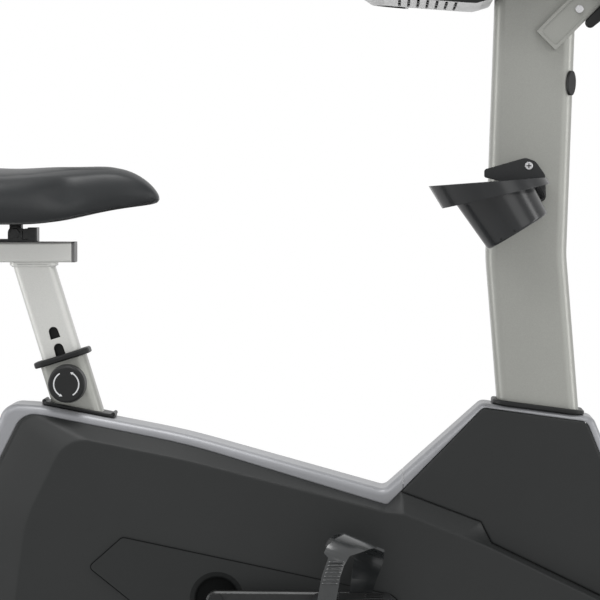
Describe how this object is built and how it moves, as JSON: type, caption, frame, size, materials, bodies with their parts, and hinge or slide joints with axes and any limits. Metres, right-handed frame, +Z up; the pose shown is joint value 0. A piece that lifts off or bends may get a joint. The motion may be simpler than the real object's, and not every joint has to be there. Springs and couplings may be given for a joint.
{
  "type": "exercise bike",
  "caption": "Upright exercise bike with a moulded two-part housing, padded saddle on a pin-locked post, bent mast, bottle holder, console and handlebar.",
  "frame": {"origin": "on the floor under the middle of the bike's overall box", "axes": "+X to the front, +Y to the rider's left, +Z up"},
  "size_m": [1.2, 0.58, 1.3805],
  "materials": {
    "silver_paint": "fine metallic satin",
    "dark_paint": "satin",
    "charcoal_shell": "fine grain",
    "grey_trim": "satin silver",
    "black_plastic": "satin",
    "gloss_black": "gloss",
    "screen": "gloss",
    "rubber": "matt",
    "vinyl": "soft grained vinyl",
    "steel": "brushed",
    "iron": "machined",
    "aluminium": "satin"
  },
  "bodies": {
    "frame": {"base_rail": "silver_paint", "end_caps": "black_plastic", "rear_stabilizer": "silver_paint", "front_stabilizer": "silver_paint", "rear_trim": "grey_trim", "front_trim": "grey_trim", "right_shell": "charcoal_shell", "left_shell": "charcoal_shell", "right_front_cover": "charcoal_shell", "left_front_cover": "charcoal_shell", "crank_covers": "charcoal_shell", "seat_tube": "silver_paint", "seat_collar": "black_plastic", "seat_boot": "black_plastic", "bearings": "steel", "drive_frame": "dark_paint", "drive_belt": "rubber", "brake_motor": "black_plastic", "mast": "silver_paint", "mast_seals": "rubber", "handlebar_bracket": "silver_paint", "bottle_cup": "gloss_black", "bottle_bracket": "black_plastic", "console_housing": "black_plastic", "console_screen": "screen", "console_band": "grey_trim", "fasteners": "steel"},
    "crank": {"crank_axle": "steel", "drive_pulley": "aluminium", "right_crank_arm": "dark_paint", "left_crank_arm": "dark_paint", "crank_caps": "black_plastic", "pedal_spindles": "steel"},
    "right_pedal": {"right_pedal": "black_plastic", "right_strap": "rubber"},
    "left_pedal": {"left_pedal": "black_plastic", "left_strap": "rubber"},
    "flywheel": {"flywheel": "iron", "flywheel_axle": "steel"},
    "idler": {"idler_roller": "black_plastic"},
    "magnet_arm": {"magnet_arm": "dark_paint"},
    "seat_post": {"seat_post": "silver_paint", "slide_tube": "silver_paint", "slide_caps": "black_plastic"},
    "slide_knob": {"slide_knob": "black_plastic"},
    "saddle_carriage": {"saddle_carriage": "dark_paint"},
    "saddle": {"saddle_cushion": "vinyl", "saddle_pan": "black_plastic"},
    "seat_knob": {"seat_knob": "black_plastic"},
    "handlebar": {"handlebar": "dark_paint", "grips": "rubber"},
    "clamp_lever": {"clamp_lever": "black_plastic"},
    "start_key": {"start_key": "gloss_black"},
    "stop_key": {"stop_key": "gloss_black"},
    "rear_right_foot": {"rear_right_foot": "rubber"},
    "rear_left_foot": {"rear_left_foot": "rubber"},
    "front_right_foot": {"front_right_foot": "rubber"},
    "front_left_foot": {"front_left_foot": "rubber"},
    "right_wheel": {"right_wheel": "rubber"},
    "left_wheel": {"left_wheel": "rubber"}
  },
  "joints": [
    {"name": "crank_spin", "type": "hinge", "parent": "frame", "child": "crank", "pos_m": [-0.1025, 0, 0.3085], "axis": [0, 1, 0], "continuous": true},
    {"name": "right_pedal_spin", "type": "hinge", "parent": "crank", "child": "right_pedal", "pos_m": [0.0675, -0.152, 0.3085], "axis": [0, 1, 0], "continuous": true},
    {"name": "left_pedal_spin", "type": "hinge", "parent": "crank", "child": "left_pedal", "pos_m": [-0.2725, 0.152, 0.3085], "axis": [0, 1, 0], "continuous": true},
    {"name": "flywheel_spin", "type": "hinge", "parent": "frame", "child": "flywheel", "pos_m": [0.108, 0, 0.262], "axis": [0, 1, 0], "continuous": true},
    {"name": "idler_spin", "type": "hinge", "parent": "frame", "child": "idler", "pos_m": [0.01565, 0, 0.2067], "axis": [0, 1, 0], "continuous": true},
    {"name": "magnet_arm_swing", "type": "hinge", "parent": "frame", "child": "magnet_arm", "pos_m": [0.1775, 0, 0.38238], "axis": [0, 1, 0], "range_deg": [0, 8]},
    {"name": "seat_height", "type": "slide", "parent": "frame", "child": "seat_post", "axis": [-0.2957, 0, 0.9553], "range_m": [-0.066, 0.132]},
    {"name": "saddle_fore_aft", "type": "slide", "parent": "seat_post", "child": "saddle_carriage", "axis": [1, 0, 0], "range_m": [-0.028, 0.028]},
    {"name": "saddle_tilt", "type": "hinge", "parent": "saddle_carriage", "child": "saddle", "pos_m": [-0.361, 0, 0.766], "axis": [0, 1, 0], "range_deg": [-8, 8]},
    {"name": "slide_knob_turn", "type": "hinge", "parent": "seat_post", "child": "slide_knob", "pos_m": [-0.446, 0, 0.742], "axis": [1, 0, 0], "range_deg": [-180, 0]},
    {"name": "seat_knob_pull", "type": "slide", "parent": "frame", "child": "seat_knob", "axis": [0, -1, 0], "range_m": [-0.009, 0]},
    {"name": "handlebar_tilt", "type": "hinge", "parent": "frame", "child": "handlebar", "pos_m": [0.3812, 0, 1.0795], "axis": [0, 1, 0], "range_deg": [-15, 25]},
    {"name": "lever_turn", "type": "hinge", "parent": "frame", "child": "clamp_lever", "pos_m": [0.4112, -0.05, 1.072], "axis": [0, 1, 0], "range_deg": [-100, 0]},
    {"name": "start_key_press", "type": "slide", "parent": "frame", "child": "start_key", "axis": [0.8387, 0, -0.5446], "range_m": [0, 0.002], "stiffness_N_per_m": 1000},
    {"name": "stop_key_press", "type": "slide", "parent": "frame", "child": "stop_key", "axis": [0.8387, 0, -0.5446], "range_m": [0, 0.002], "stiffness_N_per_m": 1000},
    {"name": "rear_right_foot_turn", "type": "hinge", "parent": "frame", "child": "rear_right_foot", "pos_m": [-0.57, -0.24, 0.012], "axis": [0, 0, 1], "continuous": true},
    {"name": "rear_left_foot_turn", "type": "hinge", "parent": "frame", "child": "rear_left_foot", "pos_m": [-0.57, 0.24, 0.012], "axis": [0, 0, 1], "continuous": true},
    {"name": "front_right_foot_turn", "type": "hinge", "parent": "frame", "child": "front_right_foot", "pos_m": [0.502, -0.24, 0.012], "axis": [0, 0, 1], "continuous": true},
    {"name": "front_left_foot_turn", "type": "hinge", "parent": "frame", "child": "front_left_foot", "pos_m": [0.502, 0.24, 0.012], "axis": [0, 0, 1], "continuous": true},
    {"name": "right_wheel_roll", "type": "hinge", "parent": "frame", "child": "right_wheel", "pos_m": [0.57, -0.195, 0.038], "axis": [0, 1, 0], "continuous": true},
    {"name": "left_wheel_roll", "type": "hinge", "parent": "frame", "child": "left_wheel", "pos_m": [0.57, 0.195, 0.038], "axis": [0, 1, 0], "continuous": true}
  ],
  "couplings": [
    {"joint": "flywheel_spin", "follows": "crank_spin", "ratio": 5},
    {"joint": "idler_spin", "follows": "crank_spin", "ratio": -6.6667}
  ]
}
